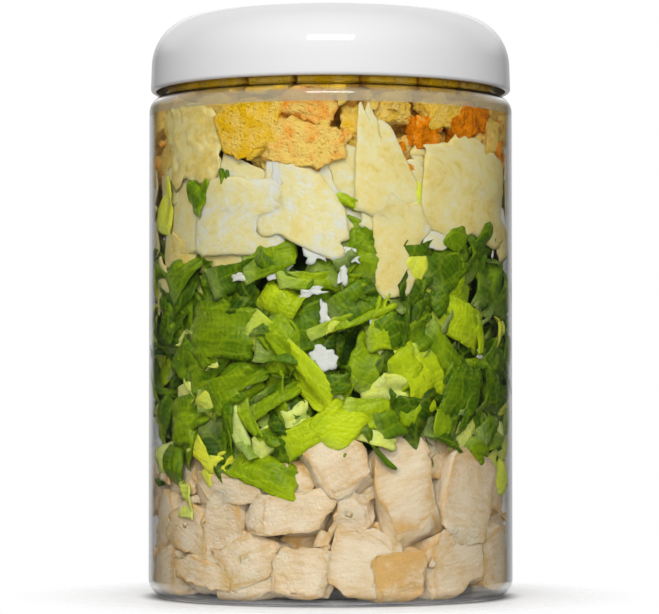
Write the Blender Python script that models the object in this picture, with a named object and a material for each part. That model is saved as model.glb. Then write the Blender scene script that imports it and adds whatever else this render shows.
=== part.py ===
"""A layered salad in a clear screw-top jar, in metres, +Z up, with the origin at the centre of the base.

The jar is one turned wall with a screw neck, and the white lid is a turned dome with a matching thread.
The salad is four heaps that rest on each other and fill the jar from the floor to the neck: diced chicken,
chopped lettuce, shaved cheese and croutons. -Y is the front.
"""

from math import atan2, cos, hypot, pi, sin, tau

import bmesh
import bpy
from mathutils import Vector, geometry, noise

# Jar
JAR_RADIUS = 0.051
WALL = 0.0008
HEEL_RADIUS = 0.005  # the round between the base and the side
BASE_THICKNESS = 0.0011
PUSH_UP = 0.0014  # how far the middle of the base is raised
FOOT_WIDTH = 0.0030  # the flat ring that the jar stands on
SHOULDER_START = 0.1356
SHOULDER_RADIUS = 0.0043
NECK_TOP = 0.1550

# Lid
LID_BOTTOM = 0.1412
LID_RADIUS = 0.0506
LID_WALL = 0.0015
DOME_RADIUS = 0.0504  # where the skirt turns into the dome
DOME_START = 0.1481
CROWN_RADIUS = 0.0393  # where the dome turns into the nearly flat crown
CROWN_EDGE = 0.1618
CROWN_RISE = 0.0009

# Thread, one turn on each of the neck and the lid
PITCH = 0.0051
THREAD_START = 0.1436
THREAD_HEIGHT = 0.0011
THREAD_THICKNESS = 0.0016
THREAD_ROOT = 0.0004  # how deep the ridge is set into its wall
THREAD_STEPS = 40

# Salad
CLEARANCE = 0.0003  # between pieces that touch
CHICKEN_TOP = 0.0370
LETTUCE_TOP = 0.0970
CHEESE_TOP = 0.1160
CROUTON_TOP = 0.1480

# Mesh
ROUND_STEPS = 44  # shared by the jar, the lid and the heaps, so that their corners line up
HEAP_RINGS = 4
MERGE = 1e-6

# What follows from the sizes above
INNER_RADIUS = JAR_RADIUS - WALL
NECK_RADIUS = JAR_RADIUS - SHOULDER_RADIUS
NECK_BORE = NECK_RADIUS - WALL
FOOT_RADIUS = JAR_RADIUS - HEEL_RADIUS
SHOULDER_INSIDE = SHOULDER_RADIUS - WALL
LID_BORE = LID_RADIUS - LID_WALL


def clear_scene():
    for obj in list(bpy.data.objects):
        bpy.data.objects.remove(obj)


def material(name, colour, roughness, alpha=1.0):
    made = bpy.data.materials.new(name)
    made.use_nodes = True
    shader = made.node_tree.nodes["Principled BSDF"]
    shader.inputs["Base Color"].default_value = (*colour, 1)
    shader.inputs["Roughness"].default_value = roughness
    shader.inputs["Metallic"].default_value = 0.0
    shader.inputs["Alpha"].default_value = alpha
    made.diffuse_color = (*colour, alpha)
    return made


def add_object(name, mesh, surface, smooth_angle=0.6):
    """A bmesh as a named object with its material, round faces shaded smooth."""
    bmesh.ops.recalc_face_normals(mesh, faces=mesh.faces)
    data = bpy.data.meshes.new(name)
    mesh.to_mesh(data)
    mesh.free()
    data.materials.append(surface)
    data.shade_smooth()
    data.set_sharp_from_angle(angle=smooth_angle)
    obj = bpy.data.objects.new(name, data)
    bpy.context.scene.collection.objects.link(obj)
    return obj


# Outlines are lists of (radius, height), and start and end on the axis.


def arc(centre, radius, start, end, steps):
    """Points round an arc. Angles are in radians, from the outward direction towards up."""
    turns = [start + (end - start) * step / steps for step in range(steps + 1)]
    return [(centre[0] + radius * cos(a), centre[1] + radius * sin(a)) for a in turns]


def base_height(radius):
    """The underside of the base: flat on the foot, and pushed up towards the middle."""
    inside = max(0.0, 1 - radius / (FOOT_RADIUS - FOOT_WIDTH))
    return PUSH_UP * (1 - (1 - inside) ** 2)


def floor_height(radius):
    return base_height(radius) + BASE_THICKNESS


def base_line(height, radii):
    return [(radius, height(radius)) for radius in radii]


def jar_outline():
    foot = FOOT_RADIUS - FOOT_WIDTH
    middle = [0, foot * 0.55, foot]
    heel = (FOOT_RADIUS, HEEL_RADIUS)
    shoulder = (NECK_RADIUS, SHOULDER_START)
    lip = (NECK_RADIUS - WALL / 2, NECK_TOP - WALL / 2)
    outside = base_line(base_height, middle)
    outside += arc(heel, HEEL_RADIUS, -pi / 2, 0, 4)
    outside += arc(shoulder, SHOULDER_RADIUS, 0, pi / 2, 4)
    outside += arc(lip, WALL / 2, 0, pi, 3)
    inside = [(NECK_BORE, SHOULDER_START + SHOULDER_INSIDE)]
    inside += arc(shoulder, SHOULDER_INSIDE, pi / 2, 0, 4)
    inside += arc(heel, HEEL_RADIUS - WALL, 0, -pi / 2 * 0.86, 4)
    inside += base_line(floor_height, reversed(middle))
    return outside + inside


def dome_line(inset, steps):
    """The dome and crown from the skirt to the axis, at a depth under the outer face."""
    skirt = Vector((DOME_RADIUS - inset, DOME_START, 0))
    crown = Vector((CROWN_RADIUS - inset * 0.45, CROWN_EDGE - inset * 0.95, 0))
    rise = 0.63 * (CROWN_EDGE - DOME_START)
    slope = 2 * CROWN_RISE / CROWN_RADIUS
    reach = 0.38 * (DOME_RADIUS - CROWN_RADIUS)
    up_skirt = skirt + Vector((0, rise - inset * 0.6, 0))
    down_crown = crown + Vector((reach, -slope * reach, 0))
    dome = geometry.interpolate_bezier(skirt, up_skirt, down_crown, crown, steps)
    centre = CROWN_EDGE + CROWN_RISE - inset
    halfway = crown.y + (centre - crown.y) * 0.75
    return [(p.x, p.y) for p in dome] + [(crown.x / 2, halfway), (0, centre)]


def lid_outline():
    edge = LID_WALL / 4
    rim = [
        (LID_BORE, LID_BOTTOM + edge),
        (LID_BORE + edge, LID_BOTTOM),
        (LID_RADIUS - edge, LID_BOTTOM),
        (LID_RADIUS, LID_BOTTOM + edge),
    ]
    inside = list(reversed(dome_line(LID_WALL, 6)))
    outside = dome_line(0, 8)
    return inside + rim + outside


def turned(name, outline, surface):
    """An outline spun about the Z axis into one closed solid."""
    mesh = bmesh.new()
    points = [mesh.verts.new((radius, 0, height)) for radius, height in outline]
    edges = [mesh.edges.new(pair) for pair in zip(points, points[1:])]
    bmesh.ops.spin(
        mesh,
        geom=points + edges,
        axis=(0, 0, 1),
        cent=(0, 0, 0),
        angle=tau,
        steps=ROUND_STEPS,
        use_merge=True,
    )
    bmesh.ops.remove_doubles(mesh, verts=mesh.verts, dist=MERGE)
    return add_object(name, mesh, surface)


def add_thread(obj, root, crest, start, surface):
    """One turn of thread on a turned part, as a ridge that runs out at both ends."""
    mesh = bmesh.new()
    sections = []
    for step in range(THREAD_STEPS + 1):
        share = step / THREAD_STEPS
        fade = min(1.0, 8 * share, 8 * (1 - share)) * 0.9 + 0.1
        middle = start + PITCH * share
        tip = root + (crest - root) * fade
        half_root, half_tip = THREAD_THICKNESS / 2, THREAD_THICKNESS / 5
        ridge = [
            (root, middle - half_root),
            (tip, middle - half_tip),
            (tip, middle + half_tip),
            (root, middle + half_root),
        ]
        angle = tau * 0.97 * share
        sections.append(
            [mesh.verts.new((r * cos(angle), r * sin(angle), z)) for r, z in ridge]
        )
    for near, far in zip(sections, sections[1:]):
        for side in range(4):
            after = (side + 1) % 4
            mesh.faces.new((near[side], near[after], far[after], far[side]))
    mesh.faces.new(sections[0])
    mesh.faces.new(sections[-1])
    ridge = add_object(obj.name + "_thread_guide", mesh, surface)
    ridge.hide_render = True
    ridge.display_type = "WIRE"
    join = obj.modifiers.new("thread", "BOOLEAN")
    join.operation = "UNION"
    join.object = ridge


def room(height):
    """How far a heap may reach from the axis at a height inside the jar."""
    if height < HEEL_RADIUS:
        drop = HEEL_RADIUS - height
        heel = (HEEL_RADIUS - WALL) ** 2 - drop**2
        return FOOT_RADIUS + max(heel, 0) ** 0.5 - CLEARANCE
    if height < SHOULDER_START:
        return INNER_RADIUS - CLEARANCE
    rise = height - SHOULDER_START
    if rise < SHOULDER_INSIDE - 1.1 * CLEARANCE:
        reach = ((SHOULDER_INSIDE - CLEARANCE) ** 2 - rise**2) ** 0.5
        return NECK_RADIUS + reach
    return NECK_BORE - CLEARANCE


def wave(x, y, size, seed):
    """Smooth unevenness from -1 to 1 with lumps of about one size."""
    return noise.noise(Vector((x / size, y / size, seed)))


def towards_right(x, y):
    """From -1 at the left of the front to 1 at the right, and level at the back."""
    front = 0.5 + 0.5 * cos(atan2(x, -y))
    return x / INNER_RADIUS * front


# The top of each heap over the point (x, y).


def chicken_top(x, y):
    lean = 0.0060 * towards_right(x, y)
    return CHICKEN_TOP + lean + 0.0060 * wave(x, y, 0.021, 1.3)


def lettuce_top(x, y):
    lean = 0.0045 * towards_right(x, y)
    return LETTUCE_TOP + lean + 0.0045 * wave(x, y, 0.018, 4.1)


def cheese_top(x, y):
    lean = 0.0045 * towards_right(x, y)
    return CHEESE_TOP + lean + 0.0040 * wave(x, y, 0.020, 7.7)


def crouton_top(x, y):
    heaped = 0.0012 * (1 - (hypot(x, y) / NECK_BORE) ** 2)
    return CROUTON_TOP + heaped + 0.0030 * wave(x, y, 0.017, 9.2)


def chicken_floor(x, y):
    return floor_height(hypot(x, y)) + CLEARANCE


def resting_on(top):
    """The underside of the heap that lies on another heap's top."""
    return lambda x, y: top(x, y) + CLEARANCE


def lumps(x, y, z, size, depth):
    """How far the side of a heap stands back from the wall between its pieces."""
    distances, _ = noise.voronoi(Vector((x, y, z)) / size)
    between = 1 - min(1.0, 2.2 * (distances[1] - distances[0]))
    return depth * between


def ring(height, radius_at, share):
    """One ring of a heap's skin as points, at a share of its edge radius."""
    points = []
    for sector in range(ROUND_STEPS):
        angle = tau * sector / ROUND_STEPS
        reach = radius_at * share
        x, y = reach * cos(angle), reach * sin(angle)
        points.append(Vector((x, y, height(x, y))))
    return points


def skin(mesh, height, edge_radius):
    """The rings of a heap's top or underside, from its middle to its edge."""
    middle = mesh.verts.new((0, 0, height(0, 0)))
    shares = [(step + 1) / HEAP_RINGS for step in range(HEAP_RINGS)]
    rings = [
        [mesh.verts.new(p) for p in ring(height, edge_radius, share)]
        for share in shares
    ]
    for sector in range(ROUND_STEPS):
        after = (sector + 1) % ROUND_STEPS
        mesh.faces.new((middle, rings[0][sector], rings[0][after]))
        for inner, outer in zip(rings, rings[1:]):
            mesh.faces.new((inner[sector], outer[sector], outer[after]))
            mesh.faces.new((inner[sector], outer[after], inner[after]))
    return rings[-1]


def between(count):
    """Heights evenly spaced between the lower and upper edge of a heap."""
    shares = [(step + 1) / (count + 1) for step in range(count)]
    return lambda low, high: [low + (high - low) * share for share in shares]


def from_heel(low, high):
    """Heights from the top of the heel up the straight wall."""
    shares = [0, 0.2, 0.4, 0.6, 0.8]
    return [HEEL_RADIUS + (high - HEEL_RADIUS) * share for share in shares]


def up_to_neck(low, high):
    """Heights up the straight wall, round the inside of the shoulder, and into the neck."""
    straight = [low + (SHOULDER_START - low) * share for share in (0.33, 0.67, 1.0)]
    bend = [SHOULDER_INSIDE * share for share in (0.45, 0.75)]
    bend.append(SHOULDER_INSIDE - CLEARANCE)
    neck = SHOULDER_START + SHOULDER_INSIDE
    return straight + [SHOULDER_START + rise for rise in bend] + [(neck + high) / 2]


def heap(name, under, top, edges, levels, lump, surface):
    """A closed heap between two uneven skins.

    edges are the radii of its lower and upper edge, levels gives the heights of the rows of points down
    its side, and lump is the size and depth of the relief that its pieces leave there.
    """
    mesh = bmesh.new()
    low = skin(mesh, under, edges[0])
    high = skin(mesh, top, edges[1])
    columns = []
    for sector, (foot, head) in enumerate(zip(low, high)):
        angle = tau * sector / ROUND_STEPS
        x, y = cos(angle), sin(angle)
        column = []
        for z in levels(foot.co.z, head.co.z):
            reach = room(z) - lumps(x * room(z), y * room(z), z, *lump)
            column.append(mesh.verts.new((x * reach, y * reach, z)))
        columns.append(column)
    rows = [low, *zip(*columns), high]
    for lower, upper in zip(rows, rows[1:]):
        for sector in range(ROUND_STEPS):
            after = (sector + 1) % ROUND_STEPS
            mesh.faces.new((lower[sector], lower[after], upper[after], upper[sector]))
    return add_object(name, mesh, surface)


def make_jar():
    clear = material("clear plastic", (0.92, 0.93, 0.92), 0.05, alpha=0.3)
    jar = turned("jar", jar_outline(), clear)
    add_thread(
        jar, NECK_RADIUS - THREAD_ROOT, NECK_RADIUS + THREAD_HEIGHT, THREAD_START, clear
    )


def make_lid():
    white = material("white plastic", (0.80, 0.80, 0.80), 0.28)
    lid = turned("lid", lid_outline(), white)
    start = THREAD_START + PITCH / 2
    add_thread(lid, LID_BORE + THREAD_ROOT, LID_BORE - THREAD_HEIGHT, start, white)


def make_salad():
    meat = material("cooked chicken", (0.70, 0.56, 0.36), 0.5)
    leaf = material("lettuce leaf", (0.20, 0.32, 0.02), 0.4)
    cheese = material("hard cheese", (0.68, 0.62, 0.36), 0.55)
    bread = material("toasted bread", (0.68, 0.43, 0.07), 0.8)
    wide = INNER_RADIUS - CLEARANCE
    foot = FOOT_RADIUS - CLEARANCE
    mouth = NECK_BORE - CLEARANCE
    heap(
        "chicken",
        chicken_floor,
        chicken_top,
        (foot, wide),
        from_heel,
        (0.017, 0.0022),
        meat,
    )
    heap(
        "lettuce",
        resting_on(chicken_top),
        lettuce_top,
        (wide, wide),
        between(7),
        (0.013, 0.0028),
        leaf,
    )
    heap(
        "parmesan",
        resting_on(lettuce_top),
        cheese_top,
        (wide, wide),
        between(2),
        (0.016, 0.0012),
        cheese,
    )
    heap(
        "croutons",
        resting_on(cheese_top),
        crouton_top,
        (wide, mouth),
        up_to_neck,
        (0.015, 0.0018),
        bread,
    )


def main():
    clear_scene()
    make_jar()
    make_lid()
    make_salad()


main()
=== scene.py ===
from math import cos, pi, radians, sin, tau

import bmesh
import bpy
import numpy as np
from mathutils import Euler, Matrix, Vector, geometry


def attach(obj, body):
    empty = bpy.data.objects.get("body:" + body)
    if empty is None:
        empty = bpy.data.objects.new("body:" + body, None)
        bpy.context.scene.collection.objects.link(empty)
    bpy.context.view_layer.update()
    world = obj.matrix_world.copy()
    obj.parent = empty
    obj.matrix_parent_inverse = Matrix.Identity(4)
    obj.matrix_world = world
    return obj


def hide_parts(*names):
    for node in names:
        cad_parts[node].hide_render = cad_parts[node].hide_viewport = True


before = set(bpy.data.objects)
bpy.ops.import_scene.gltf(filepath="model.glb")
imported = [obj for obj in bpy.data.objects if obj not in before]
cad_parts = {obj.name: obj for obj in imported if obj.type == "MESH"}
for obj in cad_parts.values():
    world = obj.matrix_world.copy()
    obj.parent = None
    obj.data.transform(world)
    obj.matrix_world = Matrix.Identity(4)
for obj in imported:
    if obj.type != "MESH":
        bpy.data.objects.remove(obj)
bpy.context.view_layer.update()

# The pieces are given in millimetres up to the point where a mesh is made, and the stage in metres.
# Colours are linear. A place on the jar is (angle, height): degrees round it from the front towards
# +X, and height above the floor. Turn and tilt are in degrees, and behind is the gap between a
# piece and the wall.

millimetre = 0.001
creaseAngle = 0.7


class Value:  # a socket that arithmetic adds Math nodes to
    def __init__(self, look, socket):
        self.look = look
        self.socket = socket

    def math(self, operation, first, second):
        return self.look.node("Math", {"operation": operation}, {0: first, 1: second})

    def __add__(self, other):
        return self.math("ADD", self, other)

    def __radd__(self, other):
        return self.math("ADD", other, self)

    def __sub__(self, other):
        return self.math("SUBTRACT", self, other)

    def __rsub__(self, other):
        return self.math("SUBTRACT", other, self)

    def __mul__(self, other):
        return self.math("MULTIPLY", self, other)

    def __rmul__(self, other):
        return self.math("MULTIPLY", other, self)


class Look:  # a material and its nodes
    def __init__(self, name, tree=None):
        if tree is None:
            self.material = bpy.data.materials.new(name)
            self.material.use_nodes = True
            tree = self.material.node_tree
        self.tree = tree
        self.tree.nodes.clear()

    def put(self, socket, value):
        if isinstance(value, Value):
            self.tree.links.new(value.socket, socket)
        elif isinstance(value, tuple) and socket.type == "RGBA":
            socket.default_value = (*value[:3], 1)
        else:
            socket.default_value = value

    def node(self, kind, settings=None, sockets=None, output=0):
        made = self.tree.nodes.new("ShaderNode" + kind)
        for key, value in (settings or {}).items():
            if key == "stops":
                while len(made.color_ramp.elements) < len(value):
                    made.color_ramp.elements.new(0.5)
                for element, (position, colour) in zip(made.color_ramp.elements, value):
                    element.position = position
                    element.color = (*colour, 1)
            else:
                setattr(made, key, value)
        for key, value in (sockets or {}).items():
            self.put(made.inputs[key], value)
        return Value(self, made.outputs[output]) if made.outputs else made

    def mix(self, share, first, second):
        sockets = {0: share, 6: first, 7: second}
        return self.node("Mix", {"data_type": "RGBA"}, sockets, 2)

    def blend(self, share, first, second):
        return self.node("MixShader", None, {0: share, 1: first, 2: second})

    def smooth(self, value, low, high):  # 0 below low, 1 above high
        settings = {"interpolation_type": "SMOOTHSTEP"}
        return self.node("MapRange", settings, {"Value": value, "From Min": low, "From Max": high})

    def noise(self, place, size, detail=3.0, rough=0.55):
        sockets = {"Vector": place, "Scale": 1 / size, "Detail": detail, "Roughness": rough}
        return self.node("TexNoise", None, sockets)

    def stretched(self, place, scale):
        return self.node("Mapping", None, {"Vector": place, "Scale": scale})

    def edges(self, place, size):  # distance from the borders of irregular cells
        sockets = {"Vector": place, "Scale": 1 / size}
        return self.node("TexVoronoi", {"feature": "DISTANCE_TO_EDGE"}, sockets)

    def ramp(self, share, colours):
        stops = [(i / (len(colours) - 1), colour) for i, colour in enumerate(colours)]
        return self.node("ValToRGB", {"stops": stops}, {0: share})

    def attribute(self, name, output=2):
        return self.node("Attribute", {"attribute_name": name}, None, output)

    def bump(self, height, strength, distance):
        sockets = {"Strength": strength, "Distance": distance * millimetre, "Height": height}
        return self.node("Bump", None, sockets)

    def surface(self, sockets):
        return self.node("BsdfPrincipled", None, sockets)

    def finish(self, shader):
        self.node("OutputMaterial", None, {"Surface": shader})
        return self.material


def millimetres(look):  # object coordinates in millimetres
    place = look.node("TexCoord", None, None, "Object")
    return look.stretched(place, (1000, 1000, 1000))


def addPiece(name, mesh, material):
    mesh.materials.append(material)
    piece = bpy.data.objects.new(name, mesh)
    bpy.context.scene.collection.objects.link(piece)
    return piece


def meshFrom(name, mesh, smooth=True):
    data = bpy.data.meshes.new(name)
    mesh.to_mesh(data)
    mesh.free()
    if smooth:
        data.shade_smooth()
    return data


def ride(piece, slotName, *nodes):
    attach(piece, "root")
    if nodes:
        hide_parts(*nodes)
    return piece


jar = {
    "radius": 51.0,
    "wall": 0.8,
    "heelRadius": 5.0,
    "baseThickness": 1.1,
    "pushUp": 1.4,
    "footWidth": 3.0,
    "shoulderStart": 135.6,
    "shoulderRadius": 4.3,
    "neckTop": 155.0,
    "steps": 192,
    "ior": 1.53,
    "roughness": 0.03,
    "tint": (0.985, 0.99, 0.985),
    # painted reflection: a pale opaque band on the shoulder stands in for the light that the curved plastic
    # there reflects and bends
    "paintedReflectionAndMottle": (0.36, 0.31, 0.20),  # where the shoulder bends the light away
    "paintedReflectionHeights": (134.0, 134.6, 136.6, 138.2),  # starts, is full, fades, is gone
    "paintedReflectionShare": 0.5,
}
innerRadius = jar["radius"] - jar["wall"]
footRadius = jar["radius"] - jar["heelRadius"]
neckRadius = jar["radius"] - jar["shoulderRadius"]
neckBore = neckRadius - jar["wall"]
shoulderInside = jar["shoulderRadius"] - jar["wall"]
thread = {"pitch": 5.1, "start": 143.6, "height": 1.1, "thickness": 1.6, "root": 0.4, "steps": 96}


def clearPlastic(name, settings):
    look = Look(name)
    handling = look.noise(millimetres(look), 24, 3)
    sockets = {
        "Base Color": settings["tint"],
        "Roughness": settings["roughness"] + handling * 0.012,
        "IOR": settings["ior"],
        "Transmission Weight": 1.0,
    }
    wall = look.surface(sockets)
    height = look.node("SeparateXYZ", None, {0: millimetres(look)}, "Z")
    # painted reflection: between these heights the glass is partly swapped for a pale opaque surface
    low, full, fade, gone = settings["paintedReflectionHeights"]
    share = look.smooth(height, low, full) * (1 - look.smooth(height, fade, gone)) * settings["paintedReflectionShare"]
    paintedReflectionAndMottle = look.surface({"Base Color": settings["paintedReflectionAndMottle"], "Roughness": 0.1})
    wall = look.blend(share, wall, paintedReflectionAndMottle)
    through = look.node("BsdfTransparent", None, {"Color": settings["tint"]})
    shadow = look.node("LightPath", None, None, "Is Shadow Ray")
    return look.finish(look.blend(shadow, wall, through))


def arc(centre, radius, start, end, steps):
    turns = [start + (end - start) * step / steps for step in range(steps + 1)]
    return [(centre[0] + radius * cos(a), centre[1] + radius * sin(a)) for a in turns]


def baseHeight(radius):
    inside = np.maximum(0, 1 - np.asarray(radius) / (footRadius - jar["footWidth"]))
    return jar["pushUp"] * (1 - (1 - inside) ** 2)


def jarOutline():
    foot = footRadius - jar["footWidth"]
    middle = [foot * share for share in (0, 0.15, 0.3, 0.45, 0.6, 0.75, 0.88, 1)]
    heel = (footRadius, jar["heelRadius"])
    shoulder = (neckRadius, jar["shoulderStart"])
    lip = (neckRadius - jar["wall"] / 2, jar["neckTop"] - jar["wall"] / 2)
    outside = [(r, float(baseHeight(r))) for r in middle]
    outside += arc(heel, jar["heelRadius"], -pi / 2, 0, 14)
    outside += arc(shoulder, jar["shoulderRadius"], 0, pi / 2, 14)
    outside += [(neckRadius, jar["shoulderStart"] + jar["shoulderRadius"] + 2.2)]
    outside += arc(lip, jar["wall"] / 2, 0, pi, 6)
    inside = [(neckBore, jar["shoulderStart"] + shoulderInside + 0.3)]
    inside += arc(shoulder, shoulderInside, pi / 2 * 0.99, 0, 12)
    inside += arc(heel, jar["heelRadius"] - jar["wall"], 0, -pi / 2 * 0.86, 12)
    inside += [(r, float(baseHeight(r)) + jar["baseThickness"]) for r in reversed(middle)]
    return outside + inside


def turned(name, outline, steps, material):
    mesh = bmesh.new()
    points = [mesh.verts.new((r * millimetre, 0, z * millimetre)) for r, z in outline]
    edges = [mesh.edges.new(pair) for pair in zip(points, points[1:])]
    bmesh.ops.spin(
        mesh,
        geom=points + edges,
        axis=(0, 0, 1),
        cent=(0, 0, 0),
        angle=tau,
        steps=steps,
        use_merge=True,
    )
    bmesh.ops.remove_doubles(mesh, verts=mesh.verts, dist=1e-6)
    bmesh.ops.recalc_face_normals(mesh, faces=mesh.faces)
    piece = addPiece(name, meshFrom(name, mesh), material)
    piece.data.set_sharp_from_angle(angle=creaseAngle)
    return piece


def addThread(piece, root, crest, start):  # one turn of ridge that becomes part of a turned piece
    mesh = bmesh.new()
    rings = []
    for step in range(thread["steps"] + 1):
        share = step / thread["steps"]
        middle = start + thread["pitch"] * share
        tip = root + (crest - root) * min(1, 8 * share + 0.1, 8 * (1 - share) + 0.1)
        section = [(root, -0.5), (tip, -0.2), (tip, 0.2), (root, 0.5)]
        turn = tau * 0.97 * share
        points = [(r * cos(turn), r * sin(turn), middle + z * thread["thickness"]) for r, z in section]
        rings.append([mesh.verts.new(Vector(point) * millimetre) for point in points])
    for near, far in zip(rings, rings[1:]):
        for side in range(4):
            after = (side + 1) % 4
            mesh.faces.new((near[side], near[after], far[after], far[side]))
    mesh.faces.new(rings[0])
    mesh.faces.new(rings[-1])
    bmesh.ops.recalc_face_normals(mesh, faces=mesh.faces)
    ridge = addPiece("ridge", meshFrom("ridge", mesh, smooth=False), piece.data.materials[0])
    join = piece.modifiers.new("join", "BOOLEAN")
    join.operation = "UNION"
    join.object = ridge
    joined = bpy.data.meshes.new_from_object(piece.evaluated_get(bpy.context.evaluated_depsgraph_get()))
    piece.modifiers.clear()
    piece.data = joined
    bpy.data.objects.remove(ridge)
    joined.set_sharp_from_angle(angle=creaseAngle)


def makeJar():
    piece = turned("clear_jar", jarOutline(), jar["steps"], clearPlastic("clearPlastic", jar))
    root = neckRadius - thread["root"]
    addThread(piece, root, neckRadius + thread["height"], thread["start"])
    ride(piece, "clear_plastic", "jar")


lid = {
    "bottom": 141.2,
    "radius": 50.6,
    "wall": 1.5,
    "rim": (0.4, 1.0),  # rounding inside and outside
    "domeRadius": 50.4,
    "domeStart": 148.1,
    "crownRadius": 39.3,
    "crownEdge": 161.8,
    "crownRise": 0.9,
    "handles": (0.63, 0.38),  # how far the dome's curve leads on from the skirt and the crown
    "steps": 192,
    "colour": (0.635, 0.637, 0.635),
    "roughness": 0.5,
}


def whitePlastic(name, settings):
    look = Look(name)
    place = millimetres(look)
    paintedReflectionAndMottle = look.noise(place, 30, 2)
    tint = tuple(share * 0.97 for share in settings["colour"])
    sockets = {
        "Base Color": look.mix(paintedReflectionAndMottle, settings["colour"], tint),
        "Roughness": settings["roughness"] + look.noise(place, 25, 2) * 0.03,
        "Coat Weight": 0.8,
        "Coat Roughness": 0.03,
    }
    return look.finish(look.surface(sockets))


def domeLine(inset, steps):
    skirt = Vector((lid["domeRadius"] - inset, lid["domeStart"], 0))
    crown = Vector((lid["crownRadius"] - inset * 0.45, lid["crownEdge"] - inset * 0.95, 0))
    rise = lid["handles"][0] * (lid["crownEdge"] - lid["domeStart"])
    slope = 2 * lid["crownRise"] / lid["crownRadius"]
    reach = lid["handles"][1] * (lid["domeRadius"] - lid["crownRadius"])
    upSkirt = skirt + Vector((0, rise - inset * 0.6, 0))
    downCrown = crown + Vector((reach, -slope * reach, 0))
    dome = geometry.interpolate_bezier(skirt, upSkirt, downCrown, crown, steps)
    centre = lid["crownEdge"] + lid["crownRise"] - inset
    shares = [0.85, 0.7, 0.55, 0.4, 0.25, 0.12, 0]
    disc = [(crown.x * s, centre - (centre - crown.y) * s**2) for s in shares]
    return [(p.x, p.y) for p in dome] + disc


def lidOutline():
    inner, outer = lid["rim"]
    bore = lid["radius"] - lid["wall"]
    rim = [(bore, lid["bottom"] + inner)]
    rim += arc((bore + inner, lid["bottom"] + inner), inner, -pi, -pi / 2, 4)[1:]
    rim += arc((lid["radius"] - outer, lid["bottom"] + outer), outer, -pi / 2, 0, 8)
    return list(reversed(domeLine(lid["wall"], 14))) + rim + domeLine(0, 28)


def makeLid():
    piece = turned("white_lid", lidOutline(), lid["steps"], whitePlastic("whitePlastic", lid))
    bore = lid["radius"] - lid["wall"]
    start = thread["start"] + thread["pitch"] / 2
    addThread(piece, bore + thread["root"], bore - thread["height"], start)
    ride(piece, "white_plastic", "lid")


press = 0.08  # how far the food reaches into the wall, so that no gap shows


def lattice(cells):  # a fixed value from -1 to 1 for each whole-numbered cell
    whole = cells.astype(np.int64)
    mixed = whole[..., 0] * 73856093 ^ whole[..., 1] * 19349663 ^ whole[..., 2] * 83492791
    mixed = (mixed ^ (mixed >> 13)) * 1274126177 & 0x7FFFFFFF
    mixed = (mixed ^ (mixed >> 15)) * 668265263 & 0x7FFFFFFF
    return (mixed >> 7 & 0xFFFF) / 32767.5 - 1


def waves(points, size, seed=0):  # smooth unevenness from -1 to 1
    scaled = np.asarray(points, float) / size + seed * 17.31
    cell = np.floor(scaled)
    part = scaled - cell
    part = part * part * (3 - 2 * part)
    total = 0
    for corner in range(8):
        step = np.array([corner & 1, corner >> 1 & 1, corner >> 2 & 1])
        share = np.prod(np.where(step == 1, part, 1 - part), axis=-1)
        total = total + share * lattice(cell + step)
    return total


def waves3(points, size, seed=0):
    return np.stack([waves(points, size, seed + axis * 5) for axis in range(3)], axis=-1)


def smoothStep(value, low, high):
    share = np.clip((value - low) / (high - low), 0, 1)
    return share * share * (3 - 2 * share)


def room(height):  # the inside radius of the jar at a height
    heel = jar["heelRadius"] - jar["wall"]
    drop = np.clip(jar["heelRadius"] - height, 0, heel)
    rise = np.clip(height - jar["shoulderStart"], 0, shoulderInside)
    low = footRadius + np.sqrt(heel**2 - drop**2)
    high = neckRadius + np.sqrt(np.maximum(shoulderInside**2 - rise**2, 0))
    high = np.where(rise > shoulderInside * 0.96, neckBore, high)
    return np.minimum(np.where(height < jar["heelRadius"], low, innerRadius), high)


def fit(points, relief=0.0, soft=0.0):  # moves points inside the jar
    radius = np.hypot(points[:, 0], points[:, 1])
    floor = baseHeight(radius) + jar["baseThickness"] + 0.15
    points[:, 2] = np.maximum(points[:, 2], floor)
    limit = room(points[:, 2]) + press - relief
    if soft:
        near = np.clip((limit - radius) / soft, -30, 30)
        limit = limit - soft * np.log1p(np.exp(near))
        limit = np.where(near > 20, radius, limit)
    points[:, :2] *= np.minimum(1, limit / np.maximum(radius, 1e-6))[:, None]
    return points


class Heap:  # many small pieces that become one mesh
    def __init__(self):
        self.points, self.quads, self.places, self.tones, self.pales = [], [], [], [], []
        self.count = 0

    def add(self, points, quads, places, tone, pale=0.0):
        size = len(points)
        self.points.append(points)
        self.quads.append(quads + self.count)
        self.places.append(places)
        self.tones.append(np.full(size, tone))
        self.pales.append(np.zeros(size) + pale)
        self.count += size

    def build(self, name, material):
        mesh = bpy.data.meshes.new(name)
        points = np.concatenate(self.points) * millimetre
        mesh.from_pydata(points.tolist(), [], np.concatenate(self.quads).tolist())
        place = mesh.attributes.new("place", "FLOAT_VECTOR", "POINT")
        place.data.foreach_set("vector", np.concatenate(self.places).ravel().astype(np.float32))
        for label, values in (("tone", self.tones), ("pale", self.pales)):
            attribute = mesh.attributes.new(label, "FLOAT", "POINT")
            attribute.data.foreach_set("value", np.concatenate(values).astype(np.float32))
        mesh.validate()
        mesh.shade_smooth()
        return addPiece(name, mesh, material)


def coreSkin(name, colour, size):
    look = Look(name)
    place = millimetres(look)
    lumps = look.noise(place, size, 5, 0.6)
    # painted shade: the hollows of the lumps are darkened, and the whole core is coloured as food deep in
    # shade
    paintedShade = tuple(share * 0.35 for share in colour)
    sockets = {
        "Base Color": look.mix(look.smooth(lumps, 0.35, 0.65), paintedShade, colour),
        "Roughness": 0.6 + lumps * 0.2,
        "Normal": look.bump(lumps, 0.9, size * 0.5),
        "Specular IOR Level": 0.1,
    }
    return look.finish(look.surface(sockets))


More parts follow.
